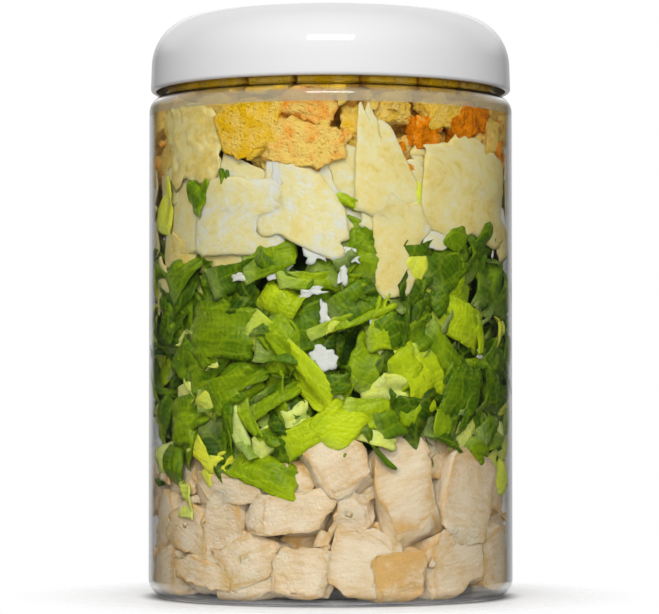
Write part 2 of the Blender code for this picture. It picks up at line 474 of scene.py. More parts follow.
def gridQuads(index):  # the faces between the points of a grid
    corners = [index[:-1, :-1], index[1:, :-1], index[1:, 1:], index[:-1, 1:]]
    return np.stack(corners, -1).reshape(-1, 4)


# The core is coloured dark as painted shade in the deep gaps between the pieces.
def makeCore(name, settings, slotName):  # the dark middle behind the pieces
    sectors, rows = 64, 18
    low, high = settings["low"], settings["high"]
    turns = np.linspace(0, tau, sectors, endpoint=False)
    rings = []
    for row in range(rows + 1):
        share = row / rows
        height = low + (high - low) * share
        closing = min(1, 5 * share + 0.55, 5 * (1 - share) + 0.55)
        ring = np.stack([np.sin(turns), -np.cos(turns), np.zeros(sectors)], -1)
        points = ring * settings["radius"] * closing + np.array([0, 0, height])
        bulge = waves(points, 11) * 2.6 + waves(points, 4) * 1.2
        rings.append(points + ring * bulge[:, None])
    points = np.concatenate(rings + [[[0, 0, low], [0, 0, high]]])
    mesh = bmesh.new()
    made = [mesh.verts.new(point) for point in fit(points.copy()) * millimetre]
    for row in range(rows):
        for sector in range(sectors):
            after = (sector + 1) % sectors
            near, far = row * sectors, (row + 1) * sectors
            mesh.faces.new([made[near + sector], made[near + after], made[far + after], made[far + sector]])
    for sector in range(sectors):
        after = (sector + 1) % sectors
        mesh.faces.new([made[-2], made[after], made[sector]])
        mesh.faces.new([made[-1], made[rows * sectors + sector], made[rows * sectors + after]])
    skin = coreSkin(name + "CoreSkin", settings["colour"], settings["lumps"])
    name += "_core"
    ride(addPiece(name, meshFrom(name, mesh), skin), slotName)


def blockGrid(steps):  # the surface of a cube from -1 to 1, with its seams merged
    line = np.sin(np.linspace(-1, 1, steps + 1) * 1.2) / sin(1.2)
    first, second = np.meshgrid(line, line, indexing="ij")
    quad = gridQuads(np.arange((steps + 1) ** 2).reshape(steps + 1, steps + 1))
    sides, faces = [], []
    for axis in range(3):
        for side in (-1, 1):
            grid = np.empty((steps + 1, steps + 1, 3))
            grid[..., axis] = side
            grid[..., (axis + 1) % 3] = first
            grid[..., (axis + 2) % 3] = second
            faces.append((quad if side > 0 else quad[:, ::-1]) + len(sides) * (steps + 1) ** 2)
            sides.append(grid.reshape(-1, 3))
    corners, same = np.unique(np.concatenate(sides).round(6), axis=0, return_inverse=True)
    return corners, same.reshape(-1)[np.concatenate(faces)]


def turnMatrix(chance, turn, wobble):
    angles = [radians(chance.uniform(-wobble, wobble)) for _ in range(2)]
    spin = Euler((angles[0], radians(-turn), angles[1]), "XYZ")
    return np.array(spin.to_matrix())


def block(heap, grid, chance, settings, piece):  # one diced piece pressed to the wall
    angle, height, width, tall, deep, turn, behind, tone = piece
    corners, quads = grid
    half = np.array([width, deep, tall]) / 2
    rounding = settings["round"]
    inner = np.clip(corners * half, rounding - half, half - rounding)
    outward = corners * half - inner
    length = np.maximum(np.linalg.norm(outward, axis=1), 1e-6)[:, None]
    points = inner + outward / length * rounding
    shares = (points / half + 1) / 2
    for corner in range(8):
        step = np.array([corner & 1, corner >> 1 & 1, corner >> 2 & 1])
        weight = np.prod(np.where(step == 1, shares, 1 - shares), axis=1)[:, None]
        points = points + weight * chance.uniform(-1, 1, 3) * settings["warp"] * half
    for _ in range(settings["cuts"]):
        facing = chance.normal(size=3) * (1, 0.5, 1)
        facing /= np.linalg.norm(facing)
        along = points @ facing
        points = points - np.maximum(along - along.max() * 0.74, 0)[:, None] * facing
    seed = chance.uniform(0, 40)
    coarse, fine = settings["rough"]
    border = np.sort(np.abs(corners), axis=1)[:, 1] ** 6
    wide, narrow = settings["ragged"]
    torn = waves3(points, 3.2, seed + 2) * wide + waves3(points, 1.6, seed + 4) * narrow
    points = points + waves3(points, 6.5, seed) * coarse + waves3(points, 1.7, seed) * fine
    points = points + torn * border[:, None]
    lumps = 0
    for amount, size in settings["lumps"]:
        lumps = lumps + amount * (np.abs(waves(points, size, seed + size)) - 0.3)
    points = points + points / np.linalg.norm(points, axis=1)[:, None] * lumps[:, None]
    place = points + chance.uniform(-400, 400, 3)
    points = points @ turnMatrix(chance, turn, 14).T
    radial = np.array([sin(radians(angle)), -cos(radians(angle)), 0])
    along = np.array([cos(radians(angle)), sin(radians(angle)), 0])
    limit = float(room(np.float64(height)))
    centre = radial * (limit - behind - deep * 0.42) + np.array([0, 0, height])
    placed = centre + points[:, :1] * along - points[:, 1:2] * radial
    placed[:, 2] += points[:, 2]
    relief = 0.12 * (1 + waves(placed, 1.7, seed)) + behind
    heap.add(fit(placed, relief, 0.5), quads, place, tone, border)


def crumbs(heap, chance, settings):  # loose bits in the gaps
    count, low, high, tone = settings["crumbs"]
    loose = settings | {"round": 0.3, "rough": (0.3, 0.3), "lumps": ((0.5, 1.2),), "ragged": (0.3, 0.2)}
    grid = blockGrid(5)
    for _ in range(count):
        place = (chance.uniform(-180, 180), chance.uniform(low, high))
        size = chance.uniform(1.6, 4.2) * chance.uniform(0.6, 1.1, 3)
        rest = (chance.uniform(-90, 90), chance.uniform(0.1, 1.6), chance.uniform(0.2, tone))
        block(heap, grid, chance, loose, (*place, *size, *rest))


# angle, height, width, tall, deep, turn, behind, brownness
chicken = {
    "placed": [
        (-13, 24.2, 23, 13.5, 14, 3, 0.0, 0.10),
        (-24, 12.6, 20, 11.5, 14, 17, 0.3, 0.30),
        (-37, 19.0, 14, 28, 13, -4, 0.9, 0.25),
        (-33, 32.0, 23, 7.5, 12, -2, 0.4, 0.30),
        (-53, 21.8, 19, 13, 12, -28, 0.6, 0.45),
        (-43, 8.0, 20, 9, 12, -8, 0.0, 0.50),
        (-67, 7.5, 20, 12, 12, 10, 0.8, 0.35),
        (-25, 4.4, 17, 6.5, 12, 6, 0.6, 0.20),
        (-7, 8.0, 15.5, 11.5, 13, 2, 0.1, 0.15),
        (3, 36.4, 22, 18, 14, 32, 0.0, 0.15),
        (8, 24.4, 9.5, 12, 9, -18, 0.8, 0.20),
        (11, 12.2, 18, 15.5, 14, -6, 0.45, 0.10),
        (26, 29.0, 15, 29, 13, 14, 0.1, 0.30),
        (23, 8.2, 14, 15, 12, 8, 0.0, 0.95),
        (50, 29.0, 18, 21, 13, -12, 0.3, 0.25),
        (35, 40.5, 15, 14, 12, -24, 4.0, 0.55),
        (28, 43.5, 12, 11, 10, 10, 3.2, 0.30),
        (45, 10.4, 23, 17.5, 14, 9, 0.75, 0.40),
        (67, 13.0, 15, 19, 12, 4, 0.5, 0.45),
        (-5, 16.5, 17, 17, 10, 38, 7.0, 0.75),
        (-69, 21.0, 14, 14, 11, 20, 1.2, 0.45),
        (67, 29.5, 13, 14, 11, -8, 1.4, 0.50),
        (-46, 31.0, 12, 10, 10, 15, 3.5, 0.55),
        (18, 20.0, 10, 9, 9, 30, 4.0, 0.60),
        (-17, 33.5, 17, 11, 10, 10, 2.6, 0.45),
        (-60, 33.0, 15, 11, 10, 12, 2.4, 0.50),
        (12, 34.0, 14, 13, 10, 20, 4.0, 0.50),
    ],
    "crumbs": (110, 3, 38, 0.7),  # count, lowest, highest, brownest
    "elsewhere": (78, 282, 11, [6, 18, 30], (17, 13, 13)),  # from, to, columns, heights, size
    "round": 0.6,
    "warp": 0.46,  # how far a corner moves, as a share of half the size
    "cuts": 5,
    "rough": (0.9, 0.22),  # coarse and fine
    "lumps": ((0.7, 4.5), (0.45, 2.0)),  # amount and size
    "ragged": (0.9, 0.5),  # wide and narrow, along the edges only
    "colours": [(0.715, 0.60, 0.435), (0.58, 0.39, 0.18), (0.64, 0.36, 0.085)],
    "core": {"radius": 42, "low": 1.6, "high": 34, "lumps": 5, "colour": (0.42, 0.29, 0.17)},
}


def meatSkin(name, settings):
    look = Look(name)
    place = look.attribute("place", 1)
    tone = look.attribute("tone")
    fibres = look.noise(look.stretched(place, (0.22, 1, 1)), 1.3, 4, 0.6)
    patches = look.noise(place, 7, 4)
    grain = look.noise(place, 0.9, 3)
    border = look.attribute("pale")
    spots = look.noise(place, 3.5, 4, 0.65)
    seared = look.smooth(patches * 0.6 + spots * 0.5 + tone * 0.46 + border * 0.22, 0.80, 1.12)
    shade = look.smooth(fibres * 0.5 + patches * 0.6 + border * 0.24 + tone * 0.15, 0.44, 0.90)
    plain = look.mix(shade, settings["colours"][0], settings["colours"][1])
    browned = look.mix(grain, settings["colours"][2], settings["colours"][1])
    height = fibres * 0.70 + grain * 0.90
    sockets = {
        "Base Color": look.mix(seared, plain, browned),
        "Roughness": 0.42 + grain * 0.25,
        "Normal": look.bump(height, 0.75, 0.6),
        "Specular IOR Level": 0.14,
        "Subsurface Weight": 0.25,
        "Subsurface Radius": (1.0, 0.55, 0.3),
        "Subsurface Scale": 0.002,
    }
    return look.finish(look.surface(sockets))


def makeChicken():
    chance = np.random.default_rng(11)
    heap = Heap()
    fine, plain = blockGrid(19), blockGrid(10)
    for piece in chicken["placed"]:
        block(heap, fine, chance, chicken, piece)
    crumbs(heap, chance, chicken)
    start, end, columns, heights, size = chicken["elsewhere"]
    for column in range(columns):
        for row, height in enumerate(heights):
            angle = start + (end - start) * (column + 0.5 * (row % 2) + 0.25) / columns
            shift = chance.uniform(-1, 1, 4)
            sizes = np.array(size) * (1 + 0.25 * shift[:3])
            shape = (angle + 3 * shift[0], height + 2 * shift[3], *sizes)
            rest = (chance.uniform(-40, 40), chance.uniform(0, 2), chance.uniform(0, 0.7))
            block(heap, plain, chance, chicken, (*shape, *rest))
    piece = heap.build("diced_chicken", meatSkin("chickenSkin", chicken))
    ride(piece, "chicken", "chicken")
    makeCore("chicken", chicken["core"], "chicken")


# angle, height, width, tall, deep, turn, behind, toast
croutons = {
    "placed": [
        (-25, 127.0, 19, 15, 14, 6, 0.0, 0.12),
        (-7, 122.0, 19, 15, 14, -9, 0.2, 0.38),
        (-22, 117.8, 12, 8, 10, 0, 3.0, 0.20),
        (9, 128.6, 11, 13, 11, 8, 1.5, 0.15),
        (-8, 134.0, 15, 8, 10, -14, 1.0, 0.50),
        (20, 132.0, 12, 10, 10, 10, 2.5, 0.20),
        (33, 127.2, 10, 9, 9, 8, 0.6, 0.72),
        (40, 132.4, 11, 8, 9, -5, 0.6, 0.15),
        (48, 130.0, 10, 10, 9, 20, 0.2, 0.85),
        (57, 131.0, 11, 9, 9, -12, 0.4, 0.80),
        (66, 126.6, 14, 10, 10, 5, 0.8, 0.30),
        (-42, 133.0, 13, 9, 10, 10, 2.5, 0.30),
        (-62, 131.5, 13, 10, 10, -8, 1.0, 0.25),
        (-70, 122.0, 12, 11, 10, 10, 2.0, 0.30),
        (2, 117.0, 12, 9, 10, 12, 5.0, 0.30),
        (30, 120.0, 13, 11, 10, 12, 5.0, 0.40),
        (50, 121.0, 13, 11, 10, -12, 5.0, 0.30),
    ],
    "elsewhere": (80, 280, 11, [121, 132], (17, 15, 13)),
    "crumbs": (90, 117, 137, 0.6),
    "neck": (17, 142, (15, 10, 12)),  # columns, height, size
    "round": 2.8,
    "warp": 0.30,
    "cuts": 3,
    "rough": (1.3, 0.30),
    "lumps": ((1.9, 3.4), (1.1, 1.5)),
    "ragged": (0.6, 0.4),
    "colours": [(0.82, 0.48, 0.005), (0.86, 0.62, 0.16), (0.90, 0.27, 0.001), (0.42, 0.11, 0.001)],
    "core": {"radius": 42, "low": 112, "high": 146, "lumps": 4, "colour": (0.50, 0.25, 0.03)},
}


def breadSkin(name, settings):
    look = Look(name)
    place = look.attribute("place", 1)
    tone = look.attribute("tone")
    holes = look.node("TexVoronoi", None, {"Vector": place, "Scale": 0.9})
    pores = look.smooth(holes, 0.10, 0.45)
    crumb = look.noise(place, 0.9, 5, 0.7)
    patches = look.noise(place, 4, 4)
    shade = look.ramp(tone + (patches - 0.5) * 0.95 + (crumb - 0.5) * 0.45, settings["colours"])
    # painted shade: the pores are mixed towards the darkest toast colour, as shade in their hollows
    shade = look.mix((1 - pores) * 0.12, shade, settings["colours"][3])
    herbs = 1 - look.smooth(look.node("TexVoronoi", None, {"Vector": place, "Scale": 0.27}), 0.06, 0.10)
    sockets = {
        "Base Color": look.mix(herbs * 0.6, shade, (0.10, 0.12, 0.01)),
        "Roughness": 0.7 + crumb * 0.2,
        "Normal": look.bump(pores * 0.5 + crumb * 1.3, 0.85, 0.85),
        "Specular IOR Level": 0.06,
    }
    return look.finish(look.surface(sockets))


def makeCroutons():
    chance = np.random.default_rng(23)
    heap = Heap()
    fine, plain = blockGrid(24), blockGrid(10)
    for piece in croutons["placed"]:
        block(heap, fine, chance, croutons, piece)
    crumbs(heap, chance, croutons)
    start, end, columns, heights, size = croutons["elsewhere"]
    for column in range(columns):
        for row, height in enumerate(heights):
            angle = start + (end - start) * (column + 0.5 * row + 0.25) / columns
            sizes = np.array(size) * chance.uniform(0.8, 1.15, 3)
            shape = (angle, height + chance.uniform(-2, 2), *sizes)
            rest = (chance.uniform(-40, 40), chance.uniform(0, 2), chance.uniform(0, 0.62))
            block(heap, plain, chance, croutons, (*shape, *rest))
    columns, neckHeight, neckSize = croutons["neck"]
    for column in range(columns):
        angle = 360 * column / columns
        shape = (angle, neckHeight + chance.uniform(-1, 1), *neckSize)
        # painted light: the neck pieces keep to the lighter, yellower toast tones, against the shadow that
        # the lid casts there
        rest = (chance.uniform(-20, 20), chance.uniform(0, 0.5), chance.uniform(0, 0.15))
        block(heap, plain, chance, croutons, (*shape, *rest))
    piece = heap.build("toasted_croutons", breadSkin("croutonSkin", croutons))
    ride(piece, "bread", "croutons")
    makeCore("crouton", croutons["core"], "bread")


def brokenEdge(chance, u, v, form):  # how far a rounded square with a broken edge reaches
    power = form["corner"]
    rounded = (np.abs(u) ** power + np.abs(v) ** power + 1e-9) ** (1 / power)
    reach = np.maximum(np.abs(u), np.abs(v)) / rounded
    count = form["breaks"]
    knots = np.sort(chance.uniform(0.15, 1, count) + np.arange(count)) * tau / (count + 0.5)
    shifts = chance.uniform(-1, 1, count)
    around = np.arctan2(v, u) % tau
    return reach * (1 + form["edge"] * np.interp(around, knots, shifts, period=tau))


def flatShape(chance, long, wide, taper, form):  # two grids of lengths, along and across
    across, down = form["grid"]
    u = np.linspace(-1, 1, across)[:, None]
    v = np.linspace(-1, 1, down)[None, :]
    reach = brokenEdge(chance, u, v, form)
    narrow = 1 + (taper - 1) * ((v if form["taperAcross"] else u) + 1) / 2
    along = u * reach * long / 2 * (narrow if form["taperAcross"] else 1)
    side = v * reach * wide / 2 * (1 if form["taperAcross"] else narrow)
    side = side + along * chance.uniform(-form["skew"], form["skew"])
    return u, v, along, side


def folded(chance, u, v, along, roll, form):  # where folds and a roll carry each point
    slope = roll * u
    for _ in range(form["folds"]):
        crease = chance.uniform(0.3, 1) * form["crease"] * chance.choice([-1, 1])
        where, lean = chance.uniform(-0.7, 0.7), chance.uniform(-0.6, 0.6)
        slope = slope + crease * smoothStep(u + v * lean, where - 0.10, where + 0.10)
    slope = slope - slope.mean()
    step = np.gradient(along, axis=0)
    x = np.cumsum(np.cos(slope) * step, axis=0)
    rise = np.cumsum(np.sin(slope) * step, axis=0)
    return x - x.mean(), rise - rise.mean()


def sheetQuads(across, down):  # two layers and the skirt that joins them
    size = across * down
    index = np.arange(size).reshape(across, down)
    layer = gridQuads(index)
    loop = np.concatenate([index[:, 0], index[-1, 1:], index[-2::-1, -1], index[0, -2:0:-1]])
    after = np.roll(loop, -1)
    skirt = np.stack([loop, loop + size, after + size, after], -1)
    return np.concatenate([layer, layer[:, ::-1] + size, skirt])


def sheet(heap, chance, settings, piece, form):  # one flat or curled piece, bent round the wall
    angle, height, long, wide, turn, behind, roll, taper, tone = piece
    u, v, along, side = flatShape(chance, long, wide, taper, form)
    x, rise = folded(chance, u, v, along, roll, form)
    flat = np.stack([along, side, np.zeros_like(side)], axis=-1)
    seed = chance.uniform(0, 40)
    rise = rise + form["ruffle"] * ((u + 1) / 2) ** 2 * np.sin(v * form["waves"] + seed)
    rise = rise + waves(flat, form["puckers"][1], seed) * form["puckers"][0]
    rise = rise + waves(flat, form["rough"][1], seed) * form["rough"][0]
    x = x + waves(flat, form["tear"][1], seed + 3) * form["tear"][0]
    y = side + waves(flat, form["tear"][1], seed + 7) * form["tear"][0]
    local = np.stack([x, rise, y], axis=-1)
    local = local @ turnMatrix(chance, turn, form["tilt"]).T
    depth = local[..., 1] + behind + form["sink"]
    thick = settings["thickness"] * form["profile"](u, v)
    bend = form["sink"] * 0.5 + 0.6  # how softly the sheet comes to lie on the wall
    depth = thick / 2 + 0.5 * (depth + np.sqrt(depth**2 + bend)) - 0.5 * bend**0.5 * 0.6
    depth = np.maximum(depth, thick / 2)
    middle = np.stack([local[..., 0], depth, local[..., 2]], axis=-1)
    normal = np.cross(np.gradient(middle, axis=0), np.gradient(middle, axis=1))
    normal /= np.maximum(np.linalg.norm(normal, axis=-1, keepdims=True), 1e-9)
    rim = np.clip((1 - np.maximum(np.abs(u), np.abs(v))) * form["rimSpeed"], 0, 1) ** 0.5
    shift = normal * (thick * (0.15 + 0.85 * rim) / 2)[..., None]
    layers = np.stack([middle + shift, middle - shift])
    layers[..., 1] = np.maximum(layers[..., 1], 0)
    up = height + layers[..., 2]
    around = radians(angle) + layers[..., 0] / innerRadius
    limit = room(up) + press
    radius = limit - layers[..., 1]
    placed = np.stack([radius * np.sin(around), -radius * np.cos(around), up], axis=-1)
    place = np.concatenate([flat.reshape(-1, 3)] * 2) + chance.uniform(-400, 400, 3)
    pale = form["pale"] * smoothStep(-u, 0.35, 1.0) * np.ones_like(v)  # towards the stem
    heap.add(fit(placed.reshape(-1, 3)), sheetQuads(*form["grid"]), place, tone, np.tile(pale.ravel(), 2))


def plainProfile(u, v):  # a profile says how thick a sheet is at each point
    return np.ones(np.broadcast(u, v).shape)


def thinProfile(u, v):
    return plainProfile(u, v) * 0.5


def ribProfile(u, v):
    return plainProfile(u, v) * np.sqrt(np.maximum(1 - np.abs(v) ** 2.2, 0.02))


leafForm = {
    "grid": (22, 15),
    "edge": 0.07,  # how far the breaks move the outline in and out
    "corner": 12.0,  # 2 is an ellipse, and a high value a square
    "breaks": 16,
    "taperAcross": False,
    "skew": 0.22,
    "folds": 2,
    "crease": 1.1,
    "ruffle": 1.1,
    "waves": 5.0,
    "puckers": (0.9, 5.0),  # amount and size, as in the next two
    "rough": (0.26, 2.0),
    "tear": (0.40, 2.2),
    "tilt": 12,
    "sink": 1.0,
    "profile": plainProfile,
    "rimSpeed": 8,  # how soon the full thickness is reached from the edge
    "pale": 0.35,
}
roughForm = leafForm | {"grid": (12, 9)}  # for leaves that are half hidden
ribForm = leafForm | {
    "edge": 0.05,
    "skew": 0.3,
    "folds": 1,
    "crease": 0.1,
    "ruffle": 0.0,
    "puckers": (0.15, 6.0),
    "rough": (0.06, 1.6),
    "tear": (0.12, 2.0),
    "tilt": 8,
    "sink": 1.6,
    "profile": ribProfile,
    "pale": 0.0,
}

# angle, height, width, tall, turn, behind, taper, yellowness
parmesan = {
    "placed": [
        (-50, 124.5, 27, 22, 8, 0.1, 0.85, 0.75),
        (-54, 104.0, 36, 21, 3, 2.1, 0.90, 0.55),
        (-30, 102.5, 36, 21, -5, 0.5, 0.90, 0.38),
        (-10, 106.5, 30, 20, -12, 0.0, 0.62, 0.33),
        (-31, 113.5, 20, 15, 12, 1.4, 0.55, 0.38),
        (-9, 114.5, 20, 13, 5, 1.9, 0.80, 0.12),
        (-17, 116.0, 3.2, 15, 2, 0.3, 0.60, 0.05),
        (16, 118.0, 25, 31, -3, 0.2, 0.20, 0.50),
        (7, 115.0, 16, 18, 14, 1.7, 0.60, 0.45),
        (24, 111.0, 20, 15, -8, 1.5, 0.80, 0.40),
        (51, 111.5, 46, 25, -7, 0.1, 0.80, 0.62),
        (37, 118.0, 20, 14, 18, 2.0, 0.70, 0.55),
        (22, 95.5, 14, 25, 4, 0.0, 1.25, 0.55),
        (21, 105.0, 21, 11, 0, 1.0, 0.90, 0.30),
        (64, 104.0, 18, 14, -10, 1.9, 0.80, 0.50),
        (-42, 112.0, 20, 14, -16, 2.6, 0.80, 0.55),
        (4, 106.0, 20, 13, 10, 2.6, 0.80, 0.30),
        (35, 98.0, 10, 5.5, -10, 0.2, 0.70, 0.15),
        (-60, 95.0, 20, 10, -6, 1.6, 0.80, 0.70),
        (-70, 86.0, 10, 15, 6, 0.6, 0.70, 0.60),
        (-68, 113.0, 14, 12, 20, 1.8, 0.80, 0.60),
        (-38, 92.5, 18, 7, -7, 2.2, 0.90, 0.60),
        (-5, 94.6, 6.7, 6.2, 20, 0.1, 0.70, 0.00),
        (-18, 88.0, 3.8, 2.8, 10, 0.1, 0.80, 0.00),
        (-6, 83.4, 7.2, 2.2, 4, 0.1, 0.80, 0.00),
        (-2, 78.4, 2.8, 5.8, 0, 0.1, 0.60, 0.00),
        (-2, 65.8, 8.3, 7.0, 35, 0.0, 0.60, 0.00),
        (4, 88.6, 3.0, 7.5, -15, 0.1, 0.60, 0.00),
        (6, 93.5, 5.5, 3.2, -25, 0.3, 0.80, 0.00),
        (13, 76.0, 2.4, 2.0, 10, 0.1, 0.80, 0.00),
        (-30, 87.5, 4.5, 2.2, 0, 0.3, 0.80, 0.10),
    ],
    "elsewhere": (78, 282, 17, [102, 112]),  # from, to, columns, heights
    "strayed": 40,  # specks that fell into the lettuce
    "roll": 0.1,
    "thickness": 0.6,
    "colours": [(0.61, 0.605, 0.545), (0.645, 0.58, 0.31), (0.655, 0.54, 0.21), (0.60, 0.44, 0.105)],
    "core": {"radius": 45, "low": 98, "high": 117, "lumps": 4, "colour": (0.46, 0.36, 0.14)},
}
flakeForm = leafForm | {
    "grid": (36, 30),
    "edge": 0.20,
    "corner": 4.5,
    "breaks": 17,
    "taperAcross": True,
    "skew": 0.15,
    "folds": 1,
    "crease": 0.10,
    "ruffle": 0.1,
    "puckers": (0.14, 9.0),
    "rough": (0.10, 1.5),
    "tear": (0.45, 1.7),
    "tilt": 2,
    "sink": 0.4,
    "rimSpeed": 22,
    "pale": 0.0,
}


def cheeseSkin(name, settings):
    look = Look(name)
    place = look.attribute("place", 1)
    tone = look.attribute("tone")
    patches = look.noise(place, 8, 3)
    flecks = look.noise(place, 1.1, 4, 0.6)
    blots = look.noise(place, 3.0, 3, 0.6)
    mottle = (patches - 0.5) * 1.2 + (blots - 0.5) * 1.1 + (flecks - 0.5) * 0.8
    shade = look.ramp(tone + mottle * look.smooth(tone, 0.0, 0.2), settings["colours"])
    sockets = {
        "Base Color": shade,
        "Roughness": 0.48 + flecks * 0.2,
        "Normal": look.bump(flecks * 0.8 + blots * 0.6, 0.5, 0.4),
        "Specular IOR Level": 0.14,
        "Subsurface Weight": 0.25,
        "Subsurface Radius": (1.0, 0.8, 0.4),
        "Subsurface Scale": 0.002,
    }
    return look.finish(look.surface(sockets))


def makeParmesan():
    chance = np.random.default_rng(37)
    heap = Heap()
    plain = flakeForm | {"grid": (16, 16), "tear": (0.4, 2.4)}
    small = flakeForm | {"grid": (11, 11), "edge": 0.3, "tear": (0.5, 1.2), "profile": thinProfile}
    crumbly = flakeForm | {"rough": (0.7, 1.6), "edge": 0.18, "tear": (0.8, 1.8), "puckers": (0.5, 4.0)}
    for piece in parmesan["placed"]:
        angle, height, width, tall, turn, behind, taper, tone = piece
        form = small if width < 9 else crumbly if tone > 0.7 else flakeForm
        piece = (angle, height, width, tall, turn, behind, parmesan["roll"], taper, tone)
        sheet(heap, chance, parmesan, piece, form)
    start, end, columns, heights = parmesan["elsewhere"]
    for height in heights:
        for column in range(columns):
            angle = start + (end - start) * (column + chance.uniform(-0.3, 0.3)) / columns
            place = (angle, height + chance.uniform(-4, 4))
            shape = (chance.uniform(15, 28), chance.uniform(11, 17), chance.uniform(-25, 25))
            hang = (chance.uniform(0, 2.5), chance.uniform(0, 0.3))
            rest = (chance.uniform(0.3, 1), chance.uniform(0.28, 0.8))
            sheet(heap, chance, parmesan, (*place, *shape, *hang, *rest), plain)
    for _ in range(parmesan["strayed"]):
        angle, height = chance.uniform(-180, 180), 96 - abs(chance.normal()) * 16
        size = chance.uniform(1.2, 3.6)
        shape = (size, size * chance.uniform(0.4, 0.9), chance.uniform(-90, 90), chance.uniform(0.2, 4))
        piece = (angle, height, *shape, parmesan["roll"], 0.7, 0.05)
        sheet(heap, chance, parmesan, piece, small | {"grid": (6, 6)})
    piece = heap.build("shaved_parmesan", cheeseSkin("parmesanSkin", parmesan))
    ride(piece, "cheese", "parmesan")
    makeCore("parmesan", parmesan["core"], "cheese")


# angle, height, long, wide, turn, behind, roll, tone (0 the first colour, 1 the last)
romaine = {
    "placed": [
        (-39, 73.6, 25, 14, -3, 0.3, 0.5, 0.46),
        (-40, 85.0, 13, 9, 80, 1.2, 0.6, 0.36),
        (-56, 84.3, 14, 9, 24, 1.0, 0.8, 0.22),
        (-20, 93.0, 15, 10, 12, 0.3, 0.9, 0.48),
        (-16, 81.0, 15, 11, 68, 0.5, 0.7, 0.74),
        (-13, 64.8, 30, 10.0, -38, 0.0, 0.3, 0.84),
        (-14, 71.5, 21, 8.5, -42, 1.0, 0.5, 0.60),
        (7, 98.0, 15, 10, -22, 1.4, 0.6, 0.52),
        (2, 92.0, 13, 9, 60, 1.6, 0.8, 0.46),
        (11, 92.5, 13, 10, 80, 1.8, 0.8, 0.50),
        (7, 80.5, 16, 9, 33, 1.0, 0.6, 0.34),
        (6, 76.2, 23, 3.4, 33, 0.1, 0.3, 0.66),
        (-3, 86.5, 22, 4.5, 8, 0.6, 0.4, 0.60),
        (-7, 74.0, 11, 11, 10, 1.6, 0.6, 0.40),
        (16, 72.1, 11, 8, 8, 0.3, 0.5, 0.72),
        (15, 77.5, 13, 3.0, 62, 0.4, 0.5, 0.70),
        (39, 91.5, 22, 11, 52, 0.7, 0.7, 0.32),
        (45, 83.0, 13, 11, 60, 0.9, 0.5, 0.58),
        (44, 99.0, 18, 10, -28, 0.9, 0.8, 0.44),
        (54, 97.0, 14, 8, -60, 1.2, 1.0, 0.34),
        (29, 80.0, 15, 9, 62, 1.5, 0.7, 0.22),
        (45, 76.2, 24, 10, -11, 0.1, 0.4, 0.76),
        (57, 74.0, 11, 8, -75, 0.3, 0.6, 0.68),
        (26, 69.5, 16, 10, 30, 1.6, 0.6, 0.42),
        (37, 67.0, 18, 9, -45, 1.0, 0.7, 0.50),
        (-54, 66.2, 16, 10, -40, 0.8, 0.7, 0.40),
        (-62, 74.5, 16, 11, 70, 1.0, 0.7, 0.30),
        (-45, 62.5, 17, 8, 30, 1.2, 0.7, 0.44),
        (-34, 56.8, 21, 9, 24, 0.3, 0.7, 0.50),
        (-54, 51.0, 18, 9, 12, 0.8, 0.6, 0.46),
        (-18, 54.5, 21, 4.5, 24, 0.8, 0.7, 0.52),
        (-26, 49.0, 16, 3.6, -65, 0.9, 0.8, 0.66),
        (-24, 36.8, 26, 9.0, -23, 0.1, 0.4, 0.62),
        (-60, 39.0, 17, 9, 82, 0.7, 0.8, 0.42),
        (-52, 42.5, 15, 6, 60, 1.4, 0.9, 0.50),
        (-68, 52.0, 14, 9, 60, 1.0, 0.8, 0.34),
        (31, 61.4, 18, 12, -66, 0.3, 0.8, 0.86),
        (24, 63.5, 16, 9, 35, 0.8, 0.8, 0.80),
        (11, 63.8, 16, 9, 60, 1.4, 0.8, 0.60),
        (3, 48.6, 22, 10, 48, 0.3, 0.8, 0.84),
        (-8, 45.0, 22, 7, 22, 0.9, 0.7, 0.78),
        (12, 51.5, 12, 8, 10, 1.2, 0.8, 0.72),
        (25, 52.0, 20, 6, -6, 2.4, 1.5, 0.30),
        (19, 48.5, 12, 7, 22, 0.8, 1.0, 0.40),
        (43, 55.5, 25, 9, 68, 0.3, 0.8, 0.36),
        (37, 48.5, 15, 5.5, 74, 0.2, 1.2, 0.56),
        (52, 52.0, 22, 9, 78, 0.9, 0.8, 0.28),
        (62, 58.0, 20, 9, 80, 0.8, 0.7, 0.30),
        (62, 86.0, 16, 10, 66, 0.9, 0.6, 0.34),
        (64, 66.0, 14, 8, 60, 1.6, 0.8, 0.40),
        (56, 40.5, 18, 7, -42, 0.8, 0.9, 0.48),
        (-47, 110.5, 10, 8, 60, 0.1, 0.3, 0.44),
        (-35, 113.5, 6, 2.6, 80, 0.3, 0.3, 0.36),
        (5, 107.5, 7, 2.6, -40, 0.6, 0.3, 0.70),
    ],
    "spread": 1.1,  # makes every placed leaf this much larger
    "contrast": 1.25,
    "around": 96,  # against the wall at the back
    "close": 96,  # just behind the placed leaves
    "behind": 110,  # deeper in, all round
    "thickness": 0.42,
    "colours": [(0.013, 0.048, 0.001), (0.070, 0.150, 0.001), (0.235, 0.335, 0.001), (0.48, 0.58, 0.008)],
    "core": {"radius": 43, "low": 36, "high": 97, "lumps": 6, "colour": (0.022, 0.060, 0.002)},
}
